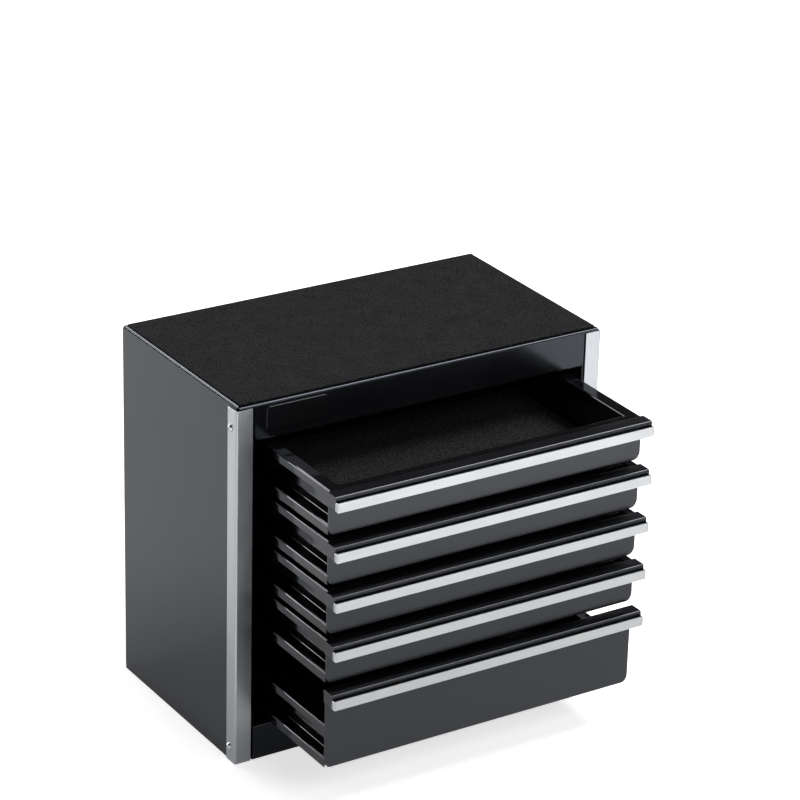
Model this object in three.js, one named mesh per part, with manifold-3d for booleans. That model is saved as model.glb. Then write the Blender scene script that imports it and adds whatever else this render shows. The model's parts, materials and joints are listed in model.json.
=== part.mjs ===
// A small drawer tool box: a case of folded sheet steel with five drawers on formed rails.
//
// Millimetres. +X is the right-hand side seen from the front, the drawers pull out towards -Y and +Z is up.
// The origin is the middle of the underside. The drawers are drawn pulled out to the end of their rails,
// and each one closes by sliding towards +Y.

import * as THREE from 'three';
import { mergeVertices } from 'three/addons/utils/BufferGeometryUtils.js';
import Module from 'manifold-3d';

const wasm = await Module();
wasm.setup();

// Sizes of the whole box
const caseWidth = 280;
const caseDepth = 156.5;

// Sheets and clearances
const caseSheet = 1;
const trimSheet = 1;
const frameSheet = 0.9;
const railSheet = 0.9;
const drawerSheet = 0.9;
const caseBend = 0.3;
const drawerBend = 0.3;
const seat = 0.2;
const runGap = 0.4;
const cutOverrun = 5;

// How finely arcs are divided, and the grid that points are placed on
const bendSteps = 3;
const gridStep = 1e-4;

// Heights in the front of the case, from the floor up, which add up to the height of the case
const kickHeight = 25.8;
const bottomGap = 4.5;
const tallFrontHeight = 58.2;
const smallFrontHeight = 31.3;
const drawerGap = 3.3;
const topGap = 4.1;
const fasciaHeight = 25.4;
const smallDrawers = 4;

// Side panels, with a front post and a rear flange folded in one with the wall
const postWidth = 14;
const postLeg = 8;
const postFoot = 2.6;
const wallTopDrop = 0.9;

// Top and bottom panels
const topFlange = 12;
const topLip = 0.6;
const faceOverlap = 0.4;
const fasciaReturn = 6;
const fasciaCorner = 3.5;
const kickReturn = 8;
const rearFlange = 12;
const panFlange = 14;
const panEndGap = 9;

// Back panel
const backInset = 4;
const backCorner = 3;

// Corner trims and their screws
const trimFrontFlange = 12;
const trimSideFlange = 11.4;
const trimLift = 0.3;
const trimBend = 0.3;
const screwHead = 5;
const screwDome = 1.5;
const screwShank = 3;
const screwLength = 7;
const screwClearance = 0.25;
const screwInset = 7.6;
const screwTopDrop = 15.7;
const screwBottomRise = 10.9;
const recessWidth = 0.7;
const recessLength = 2.6;
const recessDepth = 0.8;

// Top mat
const matThickness = 1.1;
const matSideInset = 1.4;
const matFrontInset = 2.6;
const matCorner = 1;
const matEdge = 0.2;

// Badge plate, left bare
const badgeWidth = 44.8;
const badgeHeight = 16;
const badgeThickness = 1;
const badgeCorner = 2.5;
const badgeEdge = 0.25;
const badgeInset = 7.9;
const badgeDrop = 2.8;

// Frames that carry the rails inside the case
const frameInset = 2.9;
const frameFlange = 8;
const frameLip = 3.2;
const frameLipMargin = 2;
const frameFrontGap = 0.5;
const frameRearGap = 6;
const frameLipReturn = 5;

// Fronts of the drawers, with the folded finger lip
const lipHalfMargin = 6.2;
const lipDepth = 11;
const lipRise = 3.1;
const lipHem = 2.4;
const panelReturn = 3.6;
const panelCorner = 6;

// Handle strips
const stripHeight = 6.6;
const stripDepth = 2.4;
const stripSheet = 0.8;
const stripBend = 0.2;
const stripCorner = 1.2;
const stripOverhang = 0.5;

// Trays and liners
const trayFrontRim = 4.1;
const trayLip = 5.5;
const trayLift = 0.6;
const trayRearGap = 10.5;
const linerThickness = 1.5;
const linerGap = 0.4;
const linerCorner = 1.5;

// Rails
const railDepth = 8.5;
const shelfDrop = 23.9;
const railBottomDrop = 30.8;
const railSideGap = 2.9;
const armReach = 5;
const caseRailRearGap = 9;
const keptIn = 38.4;

// Where the pieces meet
const halfWidth = caseWidth / 2;
const frontPlane = -caseDepth / 2;
const backPlane = caseDepth / 2;
const stackOfFronts = tallFrontHeight + smallDrawers * (drawerGap + smallFrontHeight);
const caseHeight = kickHeight + bottomGap + stackOfFronts + topGap + fasciaHeight;
const bendOut = caseBend + caseSheet;
const skinHalf = halfWidth - trimSheet - seat;
const topHalf = skinHalf - caseSheet - seat;
const postFront = frontPlane + trimSheet + seat;
const openingHalf = skinHalf + seat + trimSheet - postWidth;
const faceHalf = openingHalf + faceOverlap;
const fasciaFront = postFront - seat - caseSheet;
const wallTop = caseHeight - wallTopDrop;
const postTop = caseHeight - bendOut - topLip - seat;
const returnHalf = openingHalf - runGap;
const screwY = frontPlane + screwInset;
const screwHeights = { lower: screwBottomRise, upper: caseHeight - screwTopDrop };

const lipFaceY = stripDepth + seat;
const panelRearY = lipFaceY + lipDepth;
const trayFrontOut = panelRearY + seat + trayFrontRim;
const railStartY = panelRearY + seat;
const trayRearY = caseDepth - caseSheet - trayRearGap;
const lipHalf = openingHalf - lipHalfMargin;
const panelHalf = lipHalf - drawerSheet - seat;
const trayTop = smallFrontHeight;
const shelfTop = trayTop - shelfDrop;

const frameOut = openingHalf - frameInset;
const frameIn = frameOut - frameSheet;
const frameFront = frontPlane + panelRearY + frameFrontGap;
const frameBack = backPlane - caseSheet - frameRearGap;
const caseRailOut = frameIn - seat;
const caseRailFront = frameFront + frameSheet + runGap;
const caseRailBack = frameBack - caseRailRearGap;
const railOut = caseRailOut - railSheet - railSideGap;
const railIn = railOut - railDepth;
const trayOut = railIn - seat;
const trayIn = trayOut - drawerSheet;

const openBy = frontPlane + trayRearY - caseRailFront - keptIn;

const paint = {
  black: 0x1b1c1e,
  rail: 0x191a1c,
  mat: 0x222224,
  felt: 0x161618,
  silver: 0xc8cccf,
  screw: 0xe6e8ea,
};

// The outline of a folded sheet. The path runs along the middle of the sheet and its corners become bends.
function foldedOutline(path, sheet, bend) {
  const half = sheet / 2;
  const left = [new THREE.Vector2()];
  const right = [new THREE.Vector2()];
  const points = path.map(([x, y]) => new THREE.Vector2(x, y));
  const ahead = (i) => points[i + 1].clone().sub(points[i]).normalize();
  const sideways = (way) => new THREE.Vector2(-way.y, way.x);
  const addEnd = (point, way) => {
    left.push(point.clone().addScaledVector(sideways(way), half));
    right.push(point.clone().addScaledVector(sideways(way), -half));
  };
  addEnd(points[0], ahead(0));
  for (let i = 1; i < points.length - 1; i += 1) {
    const before = ahead(i - 1);
    const after = ahead(i);
    const turn = Math.atan2(before.cross(after), before.dot(after));
    const radius = bend + half;
    const run = radius * Math.tan(Math.abs(turn) / 2);
    const start = points[i].clone().addScaledVector(before, -run);
    const centre = start.clone().addScaledVector(sideways(before), Math.sign(turn) * radius);
    for (let step = 0; step <= bendSteps; step += 1) {
      const arm = start.clone().sub(centre).rotateAround(new THREE.Vector2(), (turn * step) / bendSteps);
      const inner = arm.clone().multiplyScalar((radius - half) / radius).add(centre);
      const outer = arm.clone().multiplyScalar((radius + half) / radius).add(centre);
      left.push(turn > 0 ? inner : outer);
      right.push(turn > 0 ? outer : inner);
    }
  }
  addEnd(points[points.length - 1], ahead(points.length - 2));
  return new THREE.Shape([...left.slice(1), ...right.slice(1).reverse()]);
}

// Extrusions. Each takes an outline drawn in the plane that the axis is square to.
function extrude(shape, length, bevel = 0) {
  return new THREE.ExtrudeGeometry(shape, {
    depth: length - 2 * bevel,
    bevelEnabled: bevel > 0,
    bevelThickness: bevel,
    bevelSize: bevel,
    bevelOffset: -bevel,
    bevelSegments: 1,
    curveSegments: bendSteps,
    steps: 1,
  }).translate(0, 0, bevel);
}

function alongZ(shape, from, to, bevel = 0) {
  return extrude(shape, to - from, bevel).translate(0, 0, from);
}

function alongX(shape, from, to) {
  const turn = new THREE.Matrix4().makeBasis(
    new THREE.Vector3(0, 1, 0),
    new THREE.Vector3(0, 0, 1),
    new THREE.Vector3(1, 0, 0),
  );
  return extrude(shape, to - from).applyMatrix4(turn).translate(from, 0, 0);
}

function alongY(shape, from, to, bevel = 0) {
  return extrude(shape, to - from, bevel).rotateX(Math.PI / 2).translate(0, to, 0);
}

function block(x0, x1, y0, y1, z0, z1) {
  const box = new THREE.BoxGeometry(Math.abs(x1 - x0), y1 - y0, z1 - z0);
  return box.translate((x0 + x1) / 2, (y0 + y1) / 2, (z0 + z1) / 2);
}

// A rectangle with rounded corners, each corner with a radius of its own.
function roundedRectangle(x0, y0, x1, y1, lowRadius, highRadius = lowRadius) {
  const shape = new THREE.Shape();
  shape.moveTo(x0 + lowRadius, y0);
  shape.lineTo(x1 - lowRadius, y0);
  if (lowRadius > 0) shape.absarc(x1 - lowRadius, y0 + lowRadius, lowRadius, -Math.PI / 2, 0, false);
  shape.lineTo(x1, y1 - highRadius);
  if (highRadius > 0) shape.absarc(x1 - highRadius, y1 - highRadius, highRadius, 0, Math.PI / 2, false);
  shape.lineTo(x0 + highRadius, y1);
  if (highRadius > 0) shape.absarc(x0 + highRadius, y1 - highRadius, highRadius, Math.PI / 2, Math.PI, false);
  shape.lineTo(x0, y0 + lowRadius);
  if (lowRadius > 0) shape.absarc(x0 + lowRadius, y0 + lowRadius, lowRadius, Math.PI, 1.5 * Math.PI, false);
  return shape;
}

// Joining and cutting
// Points go to a fine grid first, so that faces meant to lie in one plane do.
function toSolid(geometry) {
  const bare = geometry.clone();
  bare.deleteAttribute('normal');
  bare.deleteAttribute('uv');
  const points = bare.attributes.position.array;
  points.forEach((value, i) => { points[i] = Math.round(value / gridStep) * gridStep; });
  const merged = mergeVertices(bare, gridStep);
  return new wasm.Manifold(new wasm.Mesh({
    numProp: 3,
    vertProperties: new Float32Array(merged.attributes.position.array),
    triVerts: new Uint32Array(merged.index.array),
  }));
}

function toGeometry(solid) {
  const mesh = solid.asOriginal().simplify(gridStep).getMesh();
  const geometry = new THREE.BufferGeometry();
  geometry.setAttribute('position', new THREE.BufferAttribute(new Float32Array(mesh.vertProperties), 3));
  geometry.setIndex(new THREE.BufferAttribute(new Uint32Array(mesh.triVerts), 1));
  geometry.computeVertexNormals();
  return geometry;
}

function join(...geometries) {
  return toGeometry(geometries.map(toSolid).reduce((all, next) => all.add(next)));
}

function cut(geometry, ...tools) {
  return toGeometry(tools.map(toSolid).reduce((all, next) => all.subtract(next), toSolid(geometry)));
}

function common(geometry, other) {
  return toGeometry(toSolid(geometry).intersect(toSolid(other)));
}

function piece(name, geometry, colour, roughness, metalness) {
  const material = new THREE.MeshStandardMaterial({ color: colour, roughness, metalness });
  const mesh = new THREE.Mesh(geometry, material);
  mesh.name = name;
  return mesh;
}

function painted(name, geometry) {
  return piece(name, geometry, paint.black, 0.38, 0.1);
}

// A straight hole for a trim screw, through the trim and the side panel.
function screwHoles(side) {
  const radius = screwShank / 2 + screwClearance;
  const length = 2 * cutOverrun;
  return Object.values(screwHeights).map((height) => {
    const hole = new THREE.CylinderGeometry(radius, radius, length, 4 * bendSteps);
    return hole.rotateZ(Math.PI / 2).translate(side * skinHalf, screwY, height);
  });
}

// Side panel: the wall, which stands just outside the top panel, a front post with a leg and a rear flange.
function sidePanel(side) {
  const half = caseSheet / 2;
  const wall = side * (skinHalf - half);
  const leg = side * (openingHalf + half);
  const plan = foldedOutline([
    [leg, postFront + postLeg],
    [leg, postFront + half],
    [wall, postFront + half],
    [wall, backPlane - half],
    [side * (faceHalf + seat), backPlane - half],
  ], caseSheet, caseBend);
  const posts = alongZ(plan, postFoot, postTop);
  const skirt = block(
    side * (skinHalf - caseSheet),
    side * skinHalf,
    postFront + bendOut,
    backPlane - bendOut,
    0,
    wallTop,
  );
  return cut(join(posts, skirt), ...screwHoles(side));
}

// Corner trim: an aluminium angle over the front post, held by two screws in its side flange.
function cornerTrim(side) {
  const half = trimSheet / 2;
  const angle = foldedOutline([
    [side * (halfWidth - trimFrontFlange), frontPlane + half],
    [side * (halfWidth - half), frontPlane + half],
    [side * (halfWidth - half), frontPlane + trimSideFlange],
  ], trimSheet, trimBend);
  return cut(alongZ(angle, trimLift, postTop), ...screwHoles(side));
}

// Screw: a domed head with a cross recess on a plain shank, pointing into the case.
function trimScrew(side, height) {
  const headRadius = screwHead / 2;
  const shankRadius = screwShank / 2;
  const profile = [new THREE.Vector2(0, -screwLength), new THREE.Vector2(shankRadius, -screwLength)];
  profile.push(new THREE.Vector2(shankRadius, 0), new THREE.Vector2(headRadius, 0));
  const domeSteps = 2 * bendSteps;
  for (let step = 1; step < domeSteps; step += 1) {
    const angle = (step / domeSteps) * (Math.PI / 2);
    profile.push(new THREE.Vector2(headRadius * Math.cos(angle), screwDome * Math.sin(angle)));
  }
  profile.push(new THREE.Vector2(0, screwDome));
  const body = new THREE.LatheGeometry(profile, 6 * bendSteps);
  const slot = block(-recessLength / 2, recessLength / 2, screwDome - recessDepth, screwDome + cutOverrun,
    -recessWidth / 2, recessWidth / 2);
  const cross = slot.clone().rotateY(Math.PI / 2);
  const head = cut(body, slot, cross);
  return head.rotateZ((-side * Math.PI) / 2).translate(side * (halfWidth + seat), screwY, height);
}

// Top panel: a skin with side flanges that go down inside the side panels, a short bend over the posts in
// front and at the rear, and between the posts the fascia and the rear flange, which reach lower.
function topPanel() {
  const half = caseSheet / 2;
  const skin = caseHeight - half;
  const fascia = fasciaFront + half;
  const rear = backPlane - half;
  const fasciaFoot = caseHeight - fasciaHeight + half;
  const folded = alongX(foldedOutline([
    [fascia + fasciaReturn, fasciaFoot],
    [fascia, fasciaFoot],
    [fascia, skin],
    [rear, skin],
    [rear, caseHeight - rearFlange],
  ], caseSheet, caseBend), -faceHalf, faceHalf);
  const face = roundedRectangle(-faceHalf, caseHeight - fasciaHeight, faceHalf, caseHeight, fasciaCorner, 0);
  const faceBlock = alongY(face, fasciaFront - cutOverrun, backPlane + cutOverrun);
  const returnEnds = [-1, 1].map((side) => block(
    side * returnHalf,
    side * (returnHalf + cutOverrun),
    fasciaFront + caseSheet + seat / 2,
    fasciaFront + fasciaReturn + cutOverrun,
    caseHeight - fasciaHeight - cutOverrun,
    postTop,
  ));
  const flangeFront = postFront + bendOut + seat;
  const flangeRear = backPlane - bendOut - seat;
  const frontBend = alongX(foldedOutline([
    [fascia, caseHeight - bendOut - topLip],
    [fascia, skin],
    [flangeFront + seat, skin],
  ], caseSheet, caseBend), -topHalf, topHalf);
  const rearBend = alongX(foldedOutline([
    [flangeRear - seat, skin],
    [rear, skin],
    [rear, caseHeight - bendOut - topLip],
  ], caseSheet, caseBend), -topHalf, topHalf);
  const flange = topHalf - half;
  const cover = alongY(foldedOutline([
    [-flange, caseHeight - topFlange],
    [-flange, skin],
    [flange, skin],
    [flange, caseHeight - topFlange],
  ], caseSheet, caseBend), flangeFront, flangeRear);
  return join(cut(common(folded, faceBlock), ...returnEnds), frontBend, rearBend, cover);
}

// Bottom panel: a pan with low side flanges, the kick plate folded up in front and a flange at the rear.
function bottomPanel() {
  const half = caseSheet / 2;
  const kick = fasciaFront + half;
  const rear = backPlane - half;
  const folded = alongX(foldedOutline([
    [kick, kickHeight - bendOut],
    [kick, half],
    [rear, half],
    [rear, rearFlange],
  ], caseSheet, caseBend), -faceHalf, faceHalf);
  const kickTop = alongX(foldedOutline([
    [kick, half + bendOut],
    [kick, kickHeight - half],
    [kick + kickReturn, kickHeight - half],
  ], caseSheet, caseBend), -faceHalf, faceHalf);
  const returnEnds = [-1, 1].map((side) => block(
    side * returnHalf,
    side * (returnHalf + cutOverrun),
    fasciaFront + caseSheet + seat / 2,
    fasciaFront + kickReturn + cutOverrun,
    postFoot,
    kickHeight + cutOverrun,
  ));
  const wall = topHalf - half;
  const pan = alongY(foldedOutline([
    [-wall, panFlange],
    [-wall, half],
    [wall, half],
    [wall, panFlange],
  ], caseSheet, caseBend), postFront + caseSheet + panEndGap, backPlane - caseSheet - panEndGap);
  return join(cut(join(folded, kickTop), ...returnEnds), pan);
}

// Back panel: a flat sheet inside the rear flanges of the top, the bottom and the sides.
function backPanel() {
  const side = skinHalf - backInset;
  const outside = backPlane - caseSheet - seat;
  const outline = roundedRectangle(-side, postFoot, side, postTop, backCorner);
  return alongY(outline, outside - caseSheet, outside);
}

// Top mat: a rubber sheet with eased edges.
function topMat() {
  const side = topHalf - matSideInset;
  const depth = caseDepth / 2 - matFrontInset;
  const outline = roundedRectangle(-side, -depth, side, depth, matCorner);
  return alongZ(outline, caseHeight + seat, caseHeight + seat + matThickness, matEdge);
}

// Badge plate: a bare plate on the fascia, near its left end.
function badgePlate() {
  const left = -faceHalf + badgeInset;
  const top = caseHeight - badgeDrop;
  const outline = roundedRectangle(left, top - badgeHeight, left + badgeWidth, top, badgeCorner);
  return alongY(outline, fasciaFront - seat - badgeThickness, fasciaFront - seat, badgeEdge);
}

// Rail frame: a channel on end that stands on the pan, reaches the top panel and carries five case rails.
function railFrame(side) {
  const half = frameSheet / 2;
  const web = side * (frameOut - half);
  const foot = caseSheet + seat + half;
  const head = caseHeight - caseSheet - seat - half;
  const channel = alongY(foldedOutline([
    [side * (frameOut - frameFlange), foot],
    [web, foot],
    [web, head],
    [side * (frameOut - frameFlange), head],
  ], frameSheet, drawerBend), frameFront + frameLipReturn, frameBack);
  const lip = alongZ(foldedOutline([
    [side * (frameOut - frameLip), frameFront + half],
    [web, frameFront + half],
    [web, frameFront + frameLipReturn + frameFlange],
  ], frameSheet, drawerBend), kickHeight + frameLipMargin, caseHeight - fasciaHeight - frameLipMargin);
  return join(channel, lip);
}

// Case rail: the upturned edge of its upper arm carries the tray's rim behind the rim's lip, and its lower
// arm lies over the shelf of the drawer's rail, so that an open drawer can't tip.
function caseRail(side) {
  const half = railSheet / 2;
  const web = side * (caseRailOut - half);
  const reach = side * (railOut - armReach + half);
  const edge = trayTop - drawerSheet - runGap;
  const upper = trayTop - trayLip - runGap - half;
  const lower = shelfTop + runGap + half;
  const section = foldedOutline([
    [reach, edge],
    [reach, upper],
    [web, upper],
    [web, lower],
    [reach, lower],
  ], railSheet, drawerBend / 2);
  return alongY(section, caseRailFront, caseRailBack);
}

// Drawer front: a hemmed finger lip folded forward at the top, a flap that closes each end of the lip, and
// the panel with a return at the bottom.
function drawerFront(height) {
  const half = drawerSheet / 2;
  const bendOff = drawerBend + drawerSheet;
  const lipFoot = height - lipRise - stripHeight;
  const face = lipFaceY + half;
  const panel = panelRearY - half;
  const lip = alongX(foldedOutline([
    [face + lipHem, lipFoot + half],
    [face, lipFoot + half],
    [face, height - half],
    [panel, height - half],
    [panel, height - 2 * bendOff],
  ], drawerSheet, drawerBend), -lipHalf, lipHalf);
  const flaps = [-1, 1].map((side) => block(
    side * (lipHalf - drawerSheet),
    side * lipHalf,
    face,
    panel,
    lipFoot + half,
    height - half,
  ));
  const sheet = alongX(foldedOutline([
    [panel, height - bendOff],
    [panel, half],
    [panel + panelReturn, half],
  ], drawerSheet, drawerBend), -panelHalf, panelHalf);
  const outline = roundedRectangle(-panelHalf, 0, panelHalf, height, panelCorner, 0);
  const trimmed = common(sheet, alongY(outline, 0, panelRearY + cutOverrun));
  return join(lip, ...flaps, trimmed);
}

// Handle strip: a thin aluminium strip that stands off the face of the lip on its bent ends.
function handleStrip(height) {
  const half = stripSheet / 2;
  const end = lipHalf + stripOverhang;
  const low = height - lipRise - stripHeight;
  const bent = alongZ(foldedOutline([
    [-end + half, stripDepth],
    [-end + half, half],
    [end - half, half],
    [end - half, stripDepth],
  ], stripSheet, stripBend), low, low + stripHeight);
  const outline = roundedRectangle(-end, low, end, low + stripHeight, stripCorner);
  return common(bent, alongY(outline, -cutOverrun, stripDepth + cutOverrun));
}

// Tray: a folded pan, open at the top. Its rim is turned out to the front and the sides, and along the sides
// it ends in a lip, which hides the upper arm of the case rail.
function tray() {
  const half = drawerSheet / 2;
  const bendOff = drawerBend + drawerSheet;
  const floor = trayLift + half;
  const rim = trayTop - half;
  const side = trayOut - half;
  const front = trayFrontOut + half;
  const reach = trayIn + half / 2;
  const openSide = trayOut + drawerBend + seat / 2;
  const openFront = trayFrontOut - drawerBend;
  const trayEnd = trayRearY - seat / 2;
  const across = foldedOutline([
    [-openSide - seat, rim],
    [-side, rim],
    [-side, floor],
    [side, floor],
    [side, rim],
    [openSide + seat, rim],
  ], drawerSheet, drawerBend);
  const frontWall = foldedOutline([
    [openFront - seat, rim],
    [front, rim],
    [front, floor],
  ], drawerSheet, drawerBend / 2);
  const rimHalf = railOut - bendOff - seat;
  const rimPlate = cut(
    block(-rimHalf, rimHalf, railStartY, trayEnd, trayTop - drawerSheet, trayTop),
    block(-openSide, openSide, openFront, trayRearY + cutOverrun, floor, trayTop + cutOverrun),
  );
  const lips = [-1, 1].map((hand) => alongY(foldedOutline([
    [hand * (railOut - half), trayTop - trayLip],
    [hand * (railOut - half), rim],
    [hand * (rimHalf - seat), rim],
  ], drawerSheet, drawerBend), railStartY, trayEnd));
  return join(
    alongY(across, trayFrontOut + seat / 2, trayEnd),
    alongX(frontWall, -reach, reach),
    block(-reach, reach, trayRearY - drawerSheet, trayRearY, floor, trayTop),
    rimPlate,
    ...lips,
  );
}

// Liner: a felt sheet on the tray's floor.
function liner() {
  const side = trayIn - linerGap;
  const front = trayFrontOut + drawerSheet + linerGap;
  const rear = trayRearY - drawerSheet - linerGap;
  const low = trayLift + drawerSheet + seat;
  return alongZ(roundedRectangle(-side, front, side, rear, linerCorner), low, low + linerThickness);
}

// Drawer rail: a web on the tray's wall, and a shelf that ends in a lip.
function drawerRail(side) {
  const half = railSheet / 2;
  const web = side * (railIn + half);
  const lip = side * (railOut - half);
  const section = foldedOutline([
    [web, trayTop - drawerSheet - seat],
    [web, shelfTop - half],
    [lip, shelfTop - half],
    [lip, trayTop - railBottomDrop],
  ], railSheet, drawerBend / 2);
  return alongY(section, railStartY, trayRearY);
}

const sides = { left: -1, right: 1 };
const box = new THREE.Group();

box.add(painted('top_panel', topPanel()));
box.add(painted('bottom_panel', bottomPanel()));
box.add(painted('back_panel', backPanel()));
box.add(piece('top_mat', topMat(), paint.mat, 0.85, 0));
box.add(piece('badge_plate', badgePlate(), paint.black, 0.45, 0));

for (const [word, side] of Object.entries(sides)) {
  box.add(painted(`side_panel_${word}`, sidePanel(side)));
  box.add(piece(`corner_trim_${word}`, cornerTrim(side), paint.silver, 0.35, 0.9));
  box.add(painted(`rail_frame_${word}`, railFrame(side)));
  for (const [level, height] of Object.entries(screwHeights)) {
    box.add(piece(`trim_screw_${word}_${level}`, trimScrew(side, height), paint.screw, 0.25, 1));
  }
}

const drawerCount = smallDrawers + 1;
for (let number = 1; number <= drawerCount; number += 1) {
  const tall = number === drawerCount;
  const frontHeight = tall ? tallFrontHeight : smallFrontHeight;
  const lipTop = caseHeight - fasciaHeight - topGap - (number - 1) * (smallFrontHeight + drawerGap);
  const base = lipTop - frontHeight;

  const drawer = new THREE.Group();
  drawer.position.set(0, frontPlane - openBy, base);
  drawer.add(painted(`drawer_${number}_front`, drawerFront(frontHeight)));
  drawer.add(piece(`drawer_${number}_handle_strip`, handleStrip(frontHeight), paint.silver, 0.35, 0.9));
  drawer.add(painted(`drawer_${number}_tray`, tray()));
  drawer.add(piece(`drawer_${number}_liner`, liner(), paint.felt, 0.95, 0));
  const level = new THREE.Group();
  level.position.set(0, 0, base);
  for (const [word, side] of Object.entries(sides)) {
    drawer.add(piece(`drawer_${number}_rail_${word}`, drawerRail(side), paint.rail, 0.3, 0.2));
    level.add(piece(`case_rail_${word}_${number}`, caseRail(side), paint.rail, 0.3, 0.2));
  }
  box.add(drawer, level);
}

export default box;
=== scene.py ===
# %% [markdown]
# # A drawer tool box in sheet steel
# The real object is a small bench-top box: a case folded from thin sheet steel, five drawers that
# run on formed rails, silver pull strips, silver corner trims, and a grained mat glued to the top.
# Nearly all of its look comes from how black paint of different gloss takes the light of the room,
# so this lesson spends its time on paint, brushed metal and edges, and takes the shapes from the
# part's own solids.

import bmesh
import bpy
import json
import math
from mathutils import Matrix, Vector


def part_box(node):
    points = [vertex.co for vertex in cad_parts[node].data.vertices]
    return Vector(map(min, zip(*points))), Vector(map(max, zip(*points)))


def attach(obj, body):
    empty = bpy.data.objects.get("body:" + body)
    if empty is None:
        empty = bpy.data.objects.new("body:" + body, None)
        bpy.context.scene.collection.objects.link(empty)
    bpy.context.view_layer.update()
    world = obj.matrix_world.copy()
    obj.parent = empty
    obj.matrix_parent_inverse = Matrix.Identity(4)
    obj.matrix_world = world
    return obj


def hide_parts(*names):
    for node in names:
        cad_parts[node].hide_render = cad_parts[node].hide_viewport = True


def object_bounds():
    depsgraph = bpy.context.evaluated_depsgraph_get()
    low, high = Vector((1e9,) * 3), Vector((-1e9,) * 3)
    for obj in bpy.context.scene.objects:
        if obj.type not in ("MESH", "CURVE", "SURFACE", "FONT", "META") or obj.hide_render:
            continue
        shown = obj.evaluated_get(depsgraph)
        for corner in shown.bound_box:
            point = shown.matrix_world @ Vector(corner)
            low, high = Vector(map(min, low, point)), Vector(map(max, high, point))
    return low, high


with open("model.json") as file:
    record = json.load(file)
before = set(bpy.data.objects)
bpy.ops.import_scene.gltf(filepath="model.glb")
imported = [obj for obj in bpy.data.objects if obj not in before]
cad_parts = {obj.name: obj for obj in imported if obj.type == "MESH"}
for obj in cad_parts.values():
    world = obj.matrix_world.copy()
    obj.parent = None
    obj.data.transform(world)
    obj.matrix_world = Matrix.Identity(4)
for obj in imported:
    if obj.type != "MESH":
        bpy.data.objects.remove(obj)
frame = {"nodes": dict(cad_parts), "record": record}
cad_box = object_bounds()
nodes = frame["nodes"]
scene = bpy.context.scene
print("nodes", len(nodes), "size in mm", [round(1000 * v) for v in cad_box[1] - cad_box[0]])

# %% [markdown]
# The camera stands where the photographer's did. A camera can be placed by eye, but fitting it to
# corners whose real places are known is exact, and it gives the lens as well. The numbers here come
# from such a fit: a long lens, in front and to the left of the box, a little above it.

# %% Place the camera
PICTURE_PIXELS = 800
SENSOR_MM = 36.0
FARTHEST_SEEN_M = 20
CAMERA = {"azimuth": -32.640, "elevation": 23.684, "roll": 1.515, "distance": 2.3435}
AIM = (0.03167, 0.18581)
FOCAL_PIXELS = 3362.4


def camera_axes(azimuth, elevation, roll):
    """The camera's right, up and back directions."""
    a, e, r = (math.radians(v) for v in (azimuth, elevation, roll))
    back = Vector((math.sin(a) * math.cos(e), -math.cos(a) * math.cos(e), math.sin(e)))
    level = Vector((math.cos(a), math.sin(a), 0))
    rise = back.cross(level)
    right = level * math.cos(r) + rise * math.sin(r)
    return right, back.cross(right), back


right, up, back = camera_axes(CAMERA["azimuth"], CAMERA["elevation"], CAMERA["roll"])
camera = bpy.data.objects.new("camera", bpy.data.cameras.new("camera"))
scene.collection.objects.link(camera)
place = right * AIM[0] + up * AIM[1] + back * CAMERA["distance"]
camera.matrix_world = Matrix.Translation(place) @ Matrix((right, up, back)).transposed().to_4x4()
camera.data.sensor_width = SENSOR_MM
camera.data.lens = FOCAL_PIXELS / PICTURE_PIXELS * SENSOR_MM
camera.data.clip_end = FARTHEST_SEEN_M
scene.camera = camera
print("camera at", [round(v, 3) for v in place], "lens", round(camera.data.lens, 1))

# %% [markdown]
# Colours are written as they look on a screen, in hex, and the renderer works in linear light, so
# one function turns the one into the other. Materials are trees of nodes. The steps that they have
# in common, such as a noise of a given grain or a colour in two tones, are small helpers, which
# keeps each recipe short enough to read as a recipe.

# %% Helpers for colours and nodes
# Most values of a noise lie in this span.
MOST_NOISE = (0.35, 0.65)
FULL_RANGE = (0.0, 1.0)
# A mix node's colour sockets go by number, because its other sockets have the same names.
MIX_SHARE, MIX_FROM, MIX_TO, MIX_RESULT = 0, 6, 7, 2


def hex_colour(text):
    """A screen colour such as #c8cccf as linear red, green, blue and alpha, by the sRGB curve."""
    parts = [int(text[i:i + 2], 16) / 255 for i in (1, 3, 5)]
    linear = [c / 12.92 if c <= 0.04045 else ((c + 0.055) / 1.055) ** 2.4 for c in parts]
    return (*linear, 1.0)


def add(tree, kind, inputs=None, **settings):
    """Adds a node. Each input gets a plain value, or a link from a socket of another node."""
    node = tree.nodes.new(kind)
    for name, value in settings.items():
        setattr(node, name, value)
    for name, value in (inputs or {}).items():
        if isinstance(value, bpy.types.NodeSocket):
            tree.links.new(value, node.inputs[name])
        else:
            node.inputs[name].default_value = value
    return node


def new_material(name):
    """An empty material with its output node."""
    material = bpy.data.materials.new(name)
    material.use_nodes = True
    tree = material.node_tree
    tree.nodes.clear()
    return material, tree, add(tree, "ShaderNodeOutputMaterial")


def mm(value):
    """Millimetres as metres."""
    return value / 1000


def per_mm(spacing):
    """The scale of a noise whose grains are this many millimetres apart."""
    return 1000 / spacing


def noise(tree, where, spacing_mm, detail, **more):
    """A noise whose grains are this many millimetres apart, as a value about a half."""
    inputs = {"Vector": where, "Scale": per_mm(spacing_mm), "Detail": detail, **more}
    return add(tree, "ShaderNodeTexNoise", inputs).outputs["Fac"]


def maths(tree, operation, *values):
    """The result of an operation on plain values or sockets."""
    return add(tree, "ShaderNodeMath", dict(enumerate(values)), operation=operation).outputs[0]


def spread(tree, value, span, low, high, way="LINEAR"):
    """A value that goes from low to high while another one goes through a span, and stays there."""
    return add(tree, "ShaderNodeMapRange", {
        "Value": value, "From Min": span[0], "From Max": span[1], "To Min": low, "To Max": high},
        interpolation_type=way).outputs[0]


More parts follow.
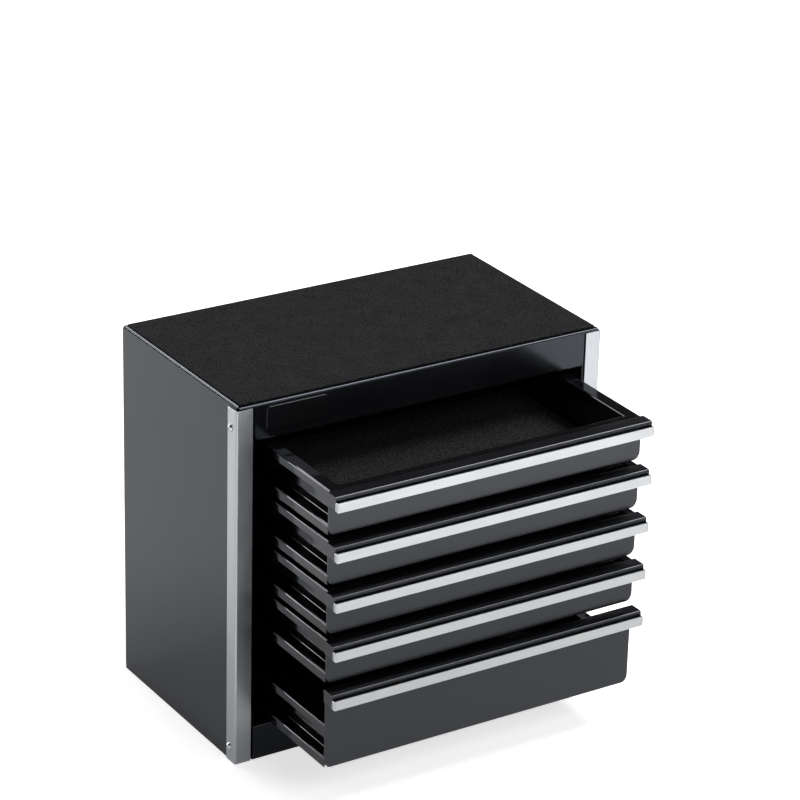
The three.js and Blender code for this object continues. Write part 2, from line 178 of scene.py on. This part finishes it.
def two_tone(tree, share, colour, darker, lighter):
    """A colour that goes from a darker to a lighter form as the share goes from 0 to 1."""
    base = Vector(hex_colour(colour)[:3])
    return add(tree, "ShaderNodeMix", {
        MIX_SHARE: share, MIX_FROM: (*(base * darker), 1), MIX_TO: (*(base * lighter), 1)},
        data_type="RGBA").outputs[MIX_RESULT]


def relief(tree, height, rise_mm):
    """A normal that follows a height from 0 to 1, as a relief of this rise in millimetres."""
    return add(tree, "ShaderNodeBump", {
        "Height": height, "Strength": 1.0, "Distance": mm(rise_mm)}).outputs[0]


# %% [markdown]
# Black paint shows little but its surroundings, so the room matters more here than the lamps. The
# photo has a white table that runs up to a pale backdrop, and a dark ceiling: upright faces mirror
# the table and look grey, flat tops mirror the dark and look black. A plain white room would be
# simpler, but it would turn the tops grey. So the room is white to the camera and low down, and
# darkens above the backdrop.

# %% The room
BACKDROP_TOP_DEGREES = 9.0
CEILING_START_DEGREES = 19.0
CEILING_LEVEL = 0.035


def studio_room():
    """White for the camera and through glass, and for other rays white up to the backdrop's top."""
    world = bpy.data.worlds.new("room")
    world.use_nodes = True
    tree = world.node_tree
    tree.nodes.clear()
    rays = add(tree, "ShaderNodeLightPath")
    seen, through = rays.outputs["Is Camera Ray"], rays.outputs["Is Transmission Ray"]
    way = add(tree, "ShaderNodeTexCoord").outputs["Generated"]
    height = add(tree, "ShaderNodeSeparateXYZ", {"Vector": way}).outputs["Z"]
    rise = [math.sin(math.radians(a)) for a in (BACKDROP_TOP_DEGREES, CEILING_START_DEGREES)]
    level = spread(tree, height, rise, 1.0, CEILING_LEVEL, "SMOOTHSTEP")
    strength = maths(tree, "MAXIMUM", maths(tree, "MAXIMUM", seen, through), level)
    sky = add(tree, "ShaderNodeBackground", {"Color": (1, 1, 1, 1), "Strength": strength})
    add(tree, "ShaderNodeOutputWorld", {"Surface": sky.outputs[0]})
    return world


scene.world = studio_room()
print("room", scene.world.name, "ceiling", CEILING_LEVEL)

# %% [markdown]
# The floor is white paper. It keeps the soft shadow of the box, and where the camera sees it, light
# of its own makes it as white as the backdrop. It could be lit up to white by the lamps alone, but
# then the silver trims would burn out. What a mirror sees of it is dim near the box and bright
# farther out: in the photo the upper drawers and the top of the trim are lighter than what is below
# them, and they mirror the paper farther out.

# %% The floor
LIFT_SEEN = 0.68
LIFT_MIRRORED = 0.1
LIFT_FAR = 0.75
FAR_STARTS_MM = -370
FAR_ENDS_MM = -580
PAPER = "#f2f2f2"
PAPER_ROUGHNESS = 0.9
PAPER_SIZE_M = 30
PAPER_DROP_MM = 0.15


def floor_paper():
    """White paper, lifted to the white of the room for the camera and by distance for mirrors."""
    material, tree, output = new_material("floor_paper")
    rays = add(tree, "ShaderNodeLightPath")
    where = add(tree, "ShaderNodeTexCoord").outputs["Object"]
    depth = add(tree, "ShaderNodeSeparateXYZ", {"Vector": where}).outputs["Y"]
    outwards = (mm(FAR_STARTS_MM), mm(FAR_ENDS_MM))
    far = spread(tree, depth, outwards, LIFT_MIRRORED, LIFT_FAR, "SMOOTHSTEP")
    seen = maths(tree, "MULTIPLY", rays.outputs["Is Camera Ray"], LIFT_SEEN)
    lift = maths(tree, "MULTIPLY_ADD", rays.outputs["Is Glossy Ray"], far, seen)
    paper = add(tree, "ShaderNodeBsdfPrincipled", {
        "Base Color": hex_colour(PAPER), "Roughness": PAPER_ROUGHNESS, "Specular IOR Level": 0.0,
        "Emission Color": (1, 1, 1, 1), "Emission Strength": lift})
    tree.links.new(paper.outputs[0], output.inputs["Surface"])
    return material


bpy.ops.mesh.primitive_plane_add(size=PAPER_SIZE_M, location=(0, 0, -mm(PAPER_DROP_MM)))
floor = bpy.context.object
floor.name = "floor"
floor.data.materials.append(floor_paper())
print("stage", floor.name)

# %% [markdown]
# Four soft boxes light the scene. The large one hangs over the right shoulder of the box: it lights
# the strips and the table, draws the thin bright lines along the folds that run across, and throws
# the soft shadow to the left. The two behind draw the lines along the folds that run to the back.
# The weak one in front lights the felt in the open drawer, which the case would otherwise shade.
# The places of the others follow from the angle at which such a fold mirrors a lamp to the camera,
# and the direction that the flat shelves of the rails mirror is left dark.

# %% The lamps
# A lamp's direction from the middle of the part, distance and size in metres, and power in watts.
SOFT_BOXES = {
    "over_box": ((0.49, -0.12, 0.86), 1.6, (0.9, 0.8), 21),
    "back_box": ((-0.16, 0.77, 0.61), 1.5, (0.8, 0.35), 7),
    "left_box": ((-0.62, 0.77, 0.11), 1.6, (0.4, 0.34), 5),
    "front_box": ((0.15, -0.78, 0.6), 1.8, (1.2, 0.7), 9),
}


def soft_box(name, direction, distance, size, power):
    """A rectangular lamp in the given direction from the middle of the part, looking back at it."""
    lamp = bpy.data.lights.new(name, "AREA")
    lamp.shape = "RECTANGLE"
    lamp.size, lamp.size_y = size
    lamp.energy = power
    item = bpy.data.objects.new(name, lamp)
    away = Vector(direction).normalized()
    item.location = middle + away * distance
    item.rotation_euler = (-away).to_track_quat("-Z", "Y").to_euler()
    item.visible_camera = False
    scene.collection.objects.link(item)


middle = (cad_box[0] + cad_box[1]) / 2
for name, (direction, distance, size, power) in SOFT_BOXES.items():
    soft_box(name, direction, distance, size, power)
scene.view_settings.view_transform = "Standard"

# %% [markdown]
# Powder coat is plastic powder that is sprayed on and baked. It flows out smooth but keeps a faint
# orange peel, about a millimetre and a half from bump to bump, and its gloss varies a little with
# its thickness. It could be one flat black, but then the large side panels would look like paper.
# So a wide, weak noise moves the roughness, and a fine one bends the surface. What the paint
# mirrors comes out a little blue in the photo, more so on the case than on the fronts, so the gloss
# has a cool tint, and that of the case a cooler one.

# %% Black powder coat for the case and the drawer fronts
COOL_GLOSS = "#eef3ff"
COOLER_GLOSS = "#e4edff"
PAINT_IOR = 1.52
CLOUD_MM = 55
DUST_MM = 0.45
DUST_TONES = (0.8, 1.25)
GLOSS_SPREAD = (0.85, 1.2)
COAT_SHARPNESS = 0.75


def powder_coat(name, colour, roughness, peel_mm, peel_rise_mm, gloss_tint=COOL_GLOSS, coat=0.25):
    """Baked paint, slightly uneven in gloss, with an orange peel of this spacing and height."""
    material, tree, output = new_material(name)
    where = add(tree, "ShaderNodeTexCoord").outputs["Object"]
    low, high = (roughness * share for share in GLOSS_SPREAD)
    gloss = spread(tree, noise(tree, where, CLOUD_MM, detail=3.0), MOST_NOISE, low, high)
    dust = noise(tree, where, DUST_MM, detail=2.0)
    peel = noise(tree, where, peel_mm, detail=1.5)
    paint = add(tree, "ShaderNodeBsdfPrincipled", {
        "Base Color": two_tone(tree, dust, colour, *DUST_TONES), "Roughness": gloss,
        "Normal": relief(tree, peel, peel_rise_mm), "IOR": PAINT_IOR,
        "Specular Tint": hex_colour(gloss_tint), "Coat Weight": coat,
        "Coat Roughness": roughness * COAT_SHARPNESS})
    tree.links.new(paint.outputs[0], output.inputs["Surface"])
    return material


case_paint = powder_coat("powder_coat_case", "#0e0f11", roughness=0.21, peel_mm=1.6,
                         peel_rise_mm=0.012, gloss_tint=COOLER_GLOSS, coat=0.05)
front_paint = powder_coat("powder_coat_fronts", "#101113", roughness=0.22, peel_mm=1.5,
                          peel_rise_mm=0.012)
rail_enamel = powder_coat("gloss_enamel_rails", "#08080a", roughness=0.10, peel_mm=2.4,
                          peel_rise_mm=0.004)
print([m.name for m in (case_paint, front_paint, rail_enamel)])

# %% [markdown]
# The trims and the pull strips are aluminium sheet, brushed along their length before it was cut. A
# brush leaves scratches tens of millimetres long and a fraction of a millimetre wide, which spread
# a highlight across the brush direction. Real scratches are far too fine for this picture, so the
# noise is stretched along the strip and drawn at a third of a millimetre, as coarse as it has to be
# to show.

# %% Brushed aluminium for the strips and the trims
SCRATCH_WIDTH_MM = 0.33
SCRATCH_LENGTH_MM = 38
SCRATCH_DEPTH_MM = 0.012
SCRATCH_TONES = (0.86, 1.1)
SMEAR_MM = 30
SMEAR_NOISE = (0.3, 0.7)
SMEAR_SPREAD = (-0.04, 0.06)


def brushed_aluminium(name, colour, roughness, along):
    """Satin metal with scratches along X, Y or Z."""
    material, tree, output = new_material(name)
    where = add(tree, "ShaderNodeTexCoord").outputs["Object"]
    stretch = [per_mm(SCRATCH_WIDTH_MM)] * 3
    stretch["XYZ".index(along)] = per_mm(SCRATCH_LENGTH_MM)
    drawn = add(tree, "ShaderNodeMapping", {"Vector": where, "Scale": stretch})
    scratch = add(tree, "ShaderNodeTexNoise", {
        "Vector": drawn.outputs[0], "Scale": 1.0, "Detail": 3.0}).outputs["Fac"]
    low, high = (roughness + change for change in SMEAR_SPREAD)
    gloss = spread(tree, noise(tree, where, SMEAR_MM, detail=2.0), SMEAR_NOISE, low, high)
    metal = add(tree, "ShaderNodeBsdfPrincipled", {
        "Base Color": two_tone(tree, scratch, colour, *SCRATCH_TONES), "Metallic": 1.0,
        "Roughness": gloss, "Normal": relief(tree, scratch, SCRATCH_DEPTH_MM)})
    tree.links.new(metal.outputs[0], output.inputs["Surface"])
    return material


strip_metal = brushed_aluminium("brushed_aluminium_strips", "#c6c8ca", roughness=0.34, along="X")
trim_metal = brushed_aluminium("brushed_aluminium_trims", "#c2c5c9", roughness=0.35, along="Z")
print(strip_metal.name, trim_metal.name)

# %% [markdown]
# The mat is moulded rubber with a leather grain: rounded pebbles a millimetre or two wide with
# narrow valleys between them. A photograph of leather could be used, but cells from a Voronoi
# pattern have the same build, and their edges make the valleys. The pebble height also sets the
# mat's colour: it is painted shade in the valleys and a painted highlight on the pebble tops, with
# weak random wear patches added. The liners in the drawers are felt: hardly any shine, and pale
# lint among dark fibres, which a noise with a steep change from dark to light gives. A sheen was an
# option for the loose fibres, but seen from above it only made the black felt grey and flat. Both
# take a low index of refraction, so that the lamp lights their grain and not a shine over it.

# %% Grained mat, felt liners, plated screws and the bare badge
SOFT_IOR = 1.15
WANDER_MM = 5
WANDER_REACH_MM = 0.9
PEBBLE_EDGES = (0.1, 0.75)
# How far the painted shade in the pebbles' valleys and the painted highlight on their tops, with
# the wear patches, move the mat's colour.
PEBBLE_SHADE_AND_WEAR_TONES = (0.1, 2.0)
GRAIN_RISE_MM = 0.22
WEAR_MM = 16
WEAR_SHADE = 0.05
WEAR_GLOSS = (0.78, 0.6)
FIBRE_MM = 1.4
FIBRE_TWIST = 0.8
FIBRE_RISE_MM = 0.3
LINT_EDGES = (0.36, 0.68)
FELT_TONES = (0.2, 2.0)
FELT_ROUGHNESS = 0.95
PLATING_SPOT_MM = 0.8
PLATING_GLOSS = (0.16, 0.34)


def grained_rubber(name, colour, grain_mm):
    """Moulded rubber with pebbles of the given width, with painted shade in the valleys and a
    painted highlight on the tops.
    """
    material, tree, output = new_material(name)
    where = add(tree, "ShaderNodeTexCoord").outputs["Object"]
    wander = add(tree, "ShaderNodeTexNoise", {
        "Vector": where, "Scale": per_mm(WANDER_MM), "Detail": 2.0})
    moved = add(tree, "ShaderNodeVectorMath", {
        0: wander.outputs["Color"], 1: (mm(WANDER_REACH_MM),) * 3}, operation="MULTIPLY")
    place = add(tree, "ShaderNodeVectorMath", {0: where, 1: moved.outputs[0]}, operation="ADD")
    pebble = add(tree, "ShaderNodeTexVoronoi", {
        "Vector": place.outputs[0], "Scale": per_mm(grain_mm)}, feature="SMOOTH_F1")
    height = spread(tree, pebble.outputs["Distance"], PEBBLE_EDGES, 1.0, 0.0)
    wear = noise(tree, where, WEAR_MM, detail=4.0)
    patch = spread(tree, wear, MOST_NOISE, -WEAR_SHADE, WEAR_SHADE)
    # Painted shade and highlight: the colour is darker in the valleys and lighter on the pebble
    # tops, and the random wear patches move it a little.
    shade = maths(tree, "ADD", height, patch)
    rubber = add(tree, "ShaderNodeBsdfPrincipled", {
        "Base Color": two_tone(tree, shade, colour, *PEBBLE_SHADE_AND_WEAR_TONES),
        "Roughness": spread(tree, wear, FULL_RANGE, *WEAR_GLOSS),
        "Normal": relief(tree, height, GRAIN_RISE_MM), "IOR": SOFT_IOR})
    tree.links.new(rubber.outputs[0], output.inputs["Surface"])
    return material


def felt(name, colour):
    """Pressed fibres, matte, with paler lint."""
    material, tree, output = new_material(name)
    where = add(tree, "ShaderNodeTexCoord").outputs["Object"]
    fibre = noise(tree, where, FIBRE_MM, detail=3.0, Distortion=FIBRE_TWIST)
    lint = spread(tree, fibre, LINT_EDGES, *FULL_RANGE)
    cloth = add(tree, "ShaderNodeBsdfPrincipled", {
        "Base Color": two_tone(tree, lint, colour, *FELT_TONES),
        "Roughness": FELT_ROUGHNESS, "Normal": relief(tree, fibre, FIBRE_RISE_MM), "IOR": SOFT_IOR})
    tree.links.new(cloth.outputs[0], output.inputs["Surface"])
    return material


def zinc_plate(name, colour):
    """Bright plating over steel, whose gloss varies in small spots."""
    material, tree, output = new_material(name)
    where = add(tree, "ShaderNodeTexCoord").outputs["Object"]
    spots = noise(tree, where, PLATING_SPOT_MM, detail=2.0)
    metal = add(tree, "ShaderNodeBsdfPrincipled", {
        "Base Color": hex_colour(colour), "Metallic": 1.0,
        "Roughness": spread(tree, spots, FULL_RANGE, *PLATING_GLOSS)})
    tree.links.new(metal.outputs[0], output.inputs["Surface"])
    return material


mat_rubber = grained_rubber("grained_rubber_mat", "#1d1d1f", grain_mm=1.3)
liner_felt = felt("black_felt_liner", "#252526")
screw_zinc = zinc_plate("zinc_plated_screws", "#e4e6e8")
badge_plastic = powder_coat("satin_badge_plastic", "#0f0f11", roughness=0.22, peel_mm=3.0,
                            peel_rise_mm=0.004)
print(mat_rubber.name, liner_felt.name, screw_zinc.name, badge_plastic.name)

# %% [markdown]
# Folded sheet has no razor edges: shears and brakes leave every edge with a radius of a fifth of a
# millimetre, and that radius draws the thin bright lines along the lips and trims. The solids of
# the part have sharp edges, so each is copied, its triangles are merged into clean faces, its edges
# get a small bevel, and the copy stands in for the node. Modelling each sheet again would risk a
# different size.

# %% Copy a sheet with eased edges
SHEET_EDGE_MM = 0.18
EDGE_SEGMENTS = 2
SHARP_FROM_DEGREES = 50
FLAT_WITHIN_DEGREES = 1
MERGE_MM = 0.003
CUT_MM = 0.0001
TO_THE_FRONT = -0.99


def ease(piece, edge_mm, material):
    """Gives a piece's sharp edges a small round, evens its shading, and applies both."""
    edge = piece.modifiers.new("edge", "BEVEL")
    edge.width = mm(edge_mm)
    edge.segments = EDGE_SEGMENTS
    edge.limit_method = "ANGLE"
    edge.angle_limit = math.radians(SHARP_FROM_DEGREES)
    piece.modifiers.new("normals", "WEIGHTED_NORMAL")
    depsgraph = bpy.context.evaluated_depsgraph_get()
    plain = bpy.data.meshes.new_from_object(piece.evaluated_get(depsgraph))
    piece.modifiers.clear()
    piece.data = plain
    plain.materials.clear()
    plain.materials.append(material)


def stand_for(piece, node):
    """The piece rides where the node does and is shown in its place."""
    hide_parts(node)
    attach(piece, body_of[node])


def press_groove(made, low, high, depth):
    """Presses the front faces between two corners back, and leaves a groove with straight sides."""
    for axis in (0, 2):
        way = Vector([float(k == axis) for k in range(3)])
        for corner in (low, high):
            bmesh.ops.bisect_plane(made, geom=[*made.verts, *made.edges, *made.faces],
                                   dist=mm(CUT_MM), plane_co=way * corner[axis], plane_no=way)
    made.normal_update()
    inside = []
    for face in made.faces:
        spot = face.calc_center_median()
        if face.normal.y < TO_THE_FRONT and all(low[k] < spot[k] < high[k] for k in range(3)):
            inside.append(face)
    pushed = bmesh.ops.extrude_face_region(made, geom=inside)
    moved = [part for part in pushed["geom"] if isinstance(part, bmesh.types.BMVert)]
    bmesh.ops.translate(made, vec=(0, depth, 0), verts=moved)
    bmesh.ops.delete(made, geom=inside, context="FACES_ONLY")


def merge_flats(made):
    """Merges the triangles of each flat area into one face."""
    bmesh.ops.dissolve_limit(made, angle_limit=math.radians(FLAT_WITHIN_DEGREES), verts=made.verts,
                             edges=made.edges)


def eased_copy(node, material, grooves, edge_mm):
    """A copy of a CAD node, with grooves pressed in and sharp edges eased, that stands for it."""
    mesh = nodes[node].data.copy()
    piece = bpy.data.objects.new(f"{node}.eased", mesh)
    scene.collection.objects.link(piece)
    made = bmesh.new()
    made.from_mesh(mesh)
    bmesh.ops.remove_doubles(made, verts=made.verts, dist=mm(MERGE_MM))
    merge_flats(made)
    for low, high, depth in grooves:
        press_groove(made, low, high, depth)
    if grooves:
        merge_flats(made)
        torn = sum(not edge.is_manifold for edge in made.edges)
        assert torn == 0, f"{node} has {torn} open edges"
    for face in made.faces:
        face.smooth = True
    made.to_mesh(mesh)
    made.free()
    ease(piece, edge_mm, material)
    stand_for(piece, node)
    return piece


bodies = frame["record"]["behaviour"]["bodies"]
body_of = {node: body for body, members in bodies.items() for node in members}
slot_of = {s["node"]: s["material_slot"] for s in frame["record"]["subparts"]}
finish_of_slot = {
    "case_paint": case_paint,
    "front_paint": front_paint,
    "rail_paint": rail_enamel,
    "grained_mat": mat_rubber,
    "liner_felt": liner_felt,
    "badge_plastic": badge_plastic,
}

# %% [markdown]
# The lip of each drawer front ends in a hem, a fold laid flat on itself, and the seam of the hem
# shows as a fine dark line under the bright fold. The pull strip is bent back at its ends, and the
# bend shows as a fine line too. Both lines are pressed into the copies as shallow grooves. A dark
# texture line would be quicker, but it would not darken and brighten with the light as a groove
# does.

# %% Where the seams and the bends lie
SEAM_DROP_MM = (1.2, 1.55)
SEAM_MARGIN_MM = 0.5
BEND_INSET_MM = (0.5, 1.2)
BEND_MARGIN_MM = 1.1
GROOVE_DEPTH_MM = 0.4
FRONT_FACE_MM = 0.1


def grooves_of(node):
    """A node's grooves, each as two corners of the box that holds its front faces, and a depth."""
    low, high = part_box(node)
    front = (low.y - mm(FRONT_FACE_MM), low.y + mm(FRONT_FACE_MM))
    depth = mm(GROOVE_DEPTH_MM)
    if node.endswith("_front"):
        start, end = (high.z - mm(drop) for drop in reversed(SEAM_DROP_MM))
        margin = mm(SEAM_MARGIN_MM)
        return [((low.x + margin, front[0], start), (high.x - margin, front[1], end), depth)]
    if node.endswith("_handle_strip"):
        foot, head = low.z + mm(BEND_MARGIN_MM), high.z - mm(BEND_MARGIN_MM)
        near, far = (mm(inset) for inset in BEND_INSET_MM)
        left = ((low.x + near, front[0], foot), (low.x + far, front[1], head), depth)
        right = ((high.x - far, front[0], foot), (high.x - near, front[1], head), depth)
        return [left, right]
    return []


print("grooves", sum(len(grooves_of(n)) for n in nodes))

# %% [markdown]
# Every sheet of the case and of the drawers is eased in one loop. The metal strips are brushed
# along X and the corner trims along Z, so these two take their finish by name, and the rest by the
# record's slot. The trays have the same gloss enamel as the rails, since their rims are as black as
# the rails' shelves.

# %% Ease the sheets and give each its finish
TRAY_EDGE_MM = 0.35
BADGE_EDGE_MM = 0.45


def finish_for(node):
    """The finish of a node."""
    if "handle_strip" in node:
        return strip_metal
    if "corner_trim" in node:
        return trim_metal
    if node.endswith("tray"):
        return rail_enamel
    return finish_of_slot[slot_of[node]]


def edge_of(node):
    """How far a node's edges are eased, in mm: the trays are tumbled, and the badge is moulded."""
    if node.endswith("tray"):
        return TRAY_EDGE_MM
    if "badge" in node:
        return BADGE_EDGE_MM
    return SHEET_EDGE_MM


rail_nodes = sorted(n for n in nodes if n.startswith("drawer") and "_rail_" in n)
plain_nodes = sorted(n for n in nodes if "screw" not in n and n not in rail_nodes)
eased = [eased_copy(n, finish_for(n), grooves_of(n), edge_of(n)) for n in plain_nodes]
print("eased", len(eased), "pieces,", sum(len(p.data.polygons) for p in eased), "faces")

# %% [markdown]
# The drawers' rails are rolled from strip, and rolling leaves wide, smooth bends, which draw the
# two bright lines along each shelf. The solids have tight bends of three steps. So each rail is
# formed again from its own box: a web on the tray's wall, a shelf and a lip, with round bends of
# many steps, and its front end stands back a little from that box, behind the drawer's front.

# %% Form the drawers' rails with round bends
RAIL_SHEET_MM = 0.9
RAIL_BEND_MM = 0.8
RAIL_SETBACK_MM = 0.7
SHELF_DROP_MM = 22.8
RAIL_EDGE_MM = 0.15
BEND_STEPS = 8


def folded_outline(path, sheet, bend):
    """The outline of a sheet folded along a path of points in a plane, round at each turn."""
    half = sheet / 2
    radius = bend + half
    left, right = [], []
    ways = [(b - a).normalized() for a, b in zip(path, path[1:])]
    square = [Vector((-way.y, way.x)) for way in ways]
    left.append(path[0] + square[0] * half)
    right.append(path[0] - square[0] * half)
    for i in range(1, len(path) - 1):
        before, after = ways[i - 1], ways[i]
        turn = math.atan2(before.cross(after), before.dot(after))
        start = path[i] - before * radius * math.tan(abs(turn) / 2)
        side = math.copysign(1, turn)
        centre = start + square[i - 1] * radius * side
        for step in range(BEND_STEPS + 1):
            angle = turn * step / BEND_STEPS
            arm = Matrix.Rotation(angle, 2) @ ((start - centre) / radius)
            left.append(centre + arm * (radius - half * side))
            right.append(centre + arm * (radius + half * side))
    left.append(path[-1] + square[-1] * half)
    right.append(path[-1] - square[-1] * half)
    return left + right[::-1]


def formed_rail(node):
    """A rail with round bends inside the box of its CAD node, on the same sides of it."""
    low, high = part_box(node)
    half = mm(RAIL_SHEET_MM) / 2
    left_hand = high.x < 0
    web = high.x - half if left_hand else low.x + half
    lip = low.x + half if left_hand else high.x - half
    shelf = high.z - mm(SHELF_DROP_MM) - half
    start = low.y + mm(RAIL_SETBACK_MM)
    path = [Vector((web, high.z)), Vector((web, shelf)), Vector((lip, shelf)), Vector((lip, low.z))]
    outline = folded_outline(path, mm(RAIL_SHEET_MM), mm(RAIL_BEND_MM))
    made = bmesh.new()
    ends = [[made.verts.new((x, y, z)) for x, z in outline] for y in (start, high.y)]
    count = len(outline)
    for i in range(count):
        after = (i + 1) % count
        made.faces.new((ends[0][i], ends[0][after], ends[1][after], ends[1][i]))
    made.faces.new(ends[0])
    made.faces.new(list(reversed(ends[1])))
    bmesh.ops.recalc_face_normals(made, faces=made.faces)
    for face in made.faces:
        face.smooth = True
    mesh = bpy.data.meshes.new(f"{node}.formed")
    made.to_mesh(mesh)
    made.free()
    piece = bpy.data.objects.new(f"{node}.formed", mesh)
    scene.collection.objects.link(piece)
    ease(piece, RAIL_EDGE_MM, rail_enamel)
    stand_for(piece, node)
    return piece


formed = [formed_rail(n) for n in rail_nodes]
print("formed", len(formed), "rails,", sum(len(p.data.polygons) for p in formed), "faces")

# %% [markdown]
# Four pan-head screws hold the corner trims. They repeat, so Geometry Nodes place them: one head is
# modelled in mesh code, with its cross recess pressed into the dome, and the tree sets it on each
# screw's point, turned outwards and by a seeded random angle about its own axis, as a hand driver
# leaves it.

# %% The trim screws
SCREW_SEED = 7
HEAD_RADIUS_MM = 2.5
HEAD_RISE_MM = 1.5
SHANK_RADIUS_MM = 1.45
SHANK_LENGTH_MM = 6.9
RECESS_DEPTH_MM = 0.85
RECESS_HALF_WIDTH_MM = 0.42
RECESS_REACH_MM = 1.35
DOME_POWER = 2.6
HEAD_TURNS = 32
HEAD_RINGS = 10
HEAD_SHARP_DEGREES = 40


def around(made, radius, height_at):
    """A ring of points about Z, each at the height that its place gives."""
    ring = []
    for turn in range(HEAD_TURNS):
        angle = 2 * math.pi * turn / HEAD_TURNS
        x, y = radius * math.cos(angle), radius * math.sin(angle)
        ring.append(made.verts.new((x, y, height_at(x, y))))
    return ring


def screw_head_mesh(radius, rise, shank_radius, length):
    """A domed head with a cross recess on a plain shank, along +Z, with its seat at zero."""
    depth, half_width, far = mm(RECESS_DEPTH_MM), mm(RECESS_HALF_WIDTH_MM), mm(RECESS_REACH_MM)

    def dome(x, y):
        """The head's height, less the recess in its two arms."""
        share = min(1.0, math.hypot(x, y) / radius)
        height = rise * math.sqrt(max(0.0, 1 - share ** DOME_POWER))
        across, reach = sorted((abs(x), abs(y)))
        if across < half_width and reach < far:
            height -= depth * (1 - (reach / far) ** 3)
        return height

    made = bmesh.new()
    centre = made.verts.new((0, 0, rise - depth))
    rings = [around(made, radius * ring / HEAD_RINGS, dome) for ring in range(1, HEAD_RINGS + 1)]
    rings += [around(made, shank_radius, lambda x, y: z) for z in (0.0, -length)]
    for turn in range(HEAD_TURNS):
        after = (turn + 1) % HEAD_TURNS
        made.faces.new((centre, rings[0][turn], rings[0][after]))
        for inner, outer in zip(rings, rings[1:]):
            made.faces.new((inner[turn], outer[turn], outer[after], inner[after]))
    made.faces.new(list(reversed(rings[-1])))
    bmesh.ops.recalc_face_normals(made, faces=made.faces)
    mesh = bpy.data.meshes.new("screw_head")
    made.to_mesh(mesh)
    made.free()
    for polygon in mesh.polygons:
        polygon.use_smooth = True
    mesh.set_sharp_from_angle(angle=math.radians(HEAD_SHARP_DEGREES))
    return mesh


def screw_tree(head, finish):
    """Sets the head on every point, turned by the point's own turn and a seeded roll."""
    tree = bpy.data.node_groups.new("trim_screws", "GeometryNodeTree")
    face = tree.interface
    face.new_socket("Points", in_out="INPUT", socket_type="NodeSocketGeometry")
    size = face.new_socket("Head scale", in_out="INPUT", socket_type="NodeSocketFloat")
    size.default_value = 1.0
    seed = face.new_socket("Seed", in_out="INPUT", socket_type="NodeSocketInt")
    face.new_socket("Screws", in_out="OUTPUT", socket_type="NodeSocketGeometry")
    come = add(tree, "NodeGroupInput")
    turn = add(tree, "GeometryNodeInputNamedAttribute", {"Name": "turn"}, data_type="FLOAT_VECTOR")
    roll = add(tree, "FunctionNodeRandomValue", {
        "Min": 0.0, "Max": math.pi / 2, "Seed": come.outputs["Seed"]}, data_type="FLOAT")
    roll_vector = add(tree, "ShaderNodeCombineXYZ", {"Z": roll.outputs["Value"]})
    info = add(tree, "GeometryNodeObjectInfo", {"Object": head})
    outward = add(tree, "FunctionNodeEulerToRotation", {"Euler": turn.outputs["Attribute"]})
    spin = add(tree, "FunctionNodeEulerToRotation", {"Euler": roll_vector.outputs[0]})
    both = add(tree, "FunctionNodeRotateRotation", {
        "Rotation": outward.outputs[0], "Rotate By": spin.outputs[0]}, rotation_space="LOCAL")
    put = add(tree, "GeometryNodeInstanceOnPoints", {
        "Points": come.outputs["Points"], "Instance": info.outputs["Geometry"],
        "Rotation": both.outputs[0], "Scale": come.outputs["Head scale"]})
    real = add(tree, "GeometryNodeRealizeInstances", {"Geometry": put.outputs[0]})
    done = add(tree, "GeometryNodeSetMaterial", {"Geometry": real.outputs[0], "Material": finish})
    add(tree, "NodeGroupOutput", {"Screws": done.outputs[0]})
    return tree, size.identifier, seed.identifier


screw_nodes = sorted(n for n in nodes if "trim_screw" in n)
points, turns_at = [], []
for node in screw_nodes:
    low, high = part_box(node)
    outwards = 1 if high.x > 0 else -1
    seat_x = (high.x - mm(HEAD_RISE_MM)) if outwards > 0 else (low.x + mm(HEAD_RISE_MM))
    points.append((seat_x, (low.y + high.y) / 2, (low.z + high.z) / 2))
    turns_at.append((0, outwards * math.pi / 2, 0))
cloud = bpy.data.meshes.new("screw_points")
cloud.from_pydata(points, [], [])
mark = cloud.attributes.new("turn", "FLOAT_VECTOR", "POINT")
for i, value in enumerate(turns_at):
    mark.data[i].vector = value
screws = bpy.data.objects.new("trim_screws", cloud)
scene.collection.objects.link(screws)
head = bpy.data.objects.new("screw_head", screw_head_mesh(
    mm(HEAD_RADIUS_MM), mm(HEAD_RISE_MM), mm(SHANK_RADIUS_MM), mm(SHANK_LENGTH_MM)))
tree, size_socket, seed_socket = screw_tree(head, screw_zinc)
placer = screws.modifiers.new("place", "NODES")
placer.node_group = tree
placer[size_socket] = 1.0
placer[seed_socket] = SCREW_SEED
plain = bpy.data.meshes.new_from_object(screws.evaluated_get(bpy.context.evaluated_depsgraph_get()))
screws.modifiers.clear()
screws.data = plain
bpy.data.objects.remove(head)
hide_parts(*screw_nodes)
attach(screws, "case")
print("screws", len(points), "faces", len(plain.polygons))

# %% [markdown]
# The dressed part has to stay the size of the solids, so the box of the solids is printed.

# %% Print the size of the solids
print("cad", [[round(1000 * c, 2) for c in v] for v in cad_box])
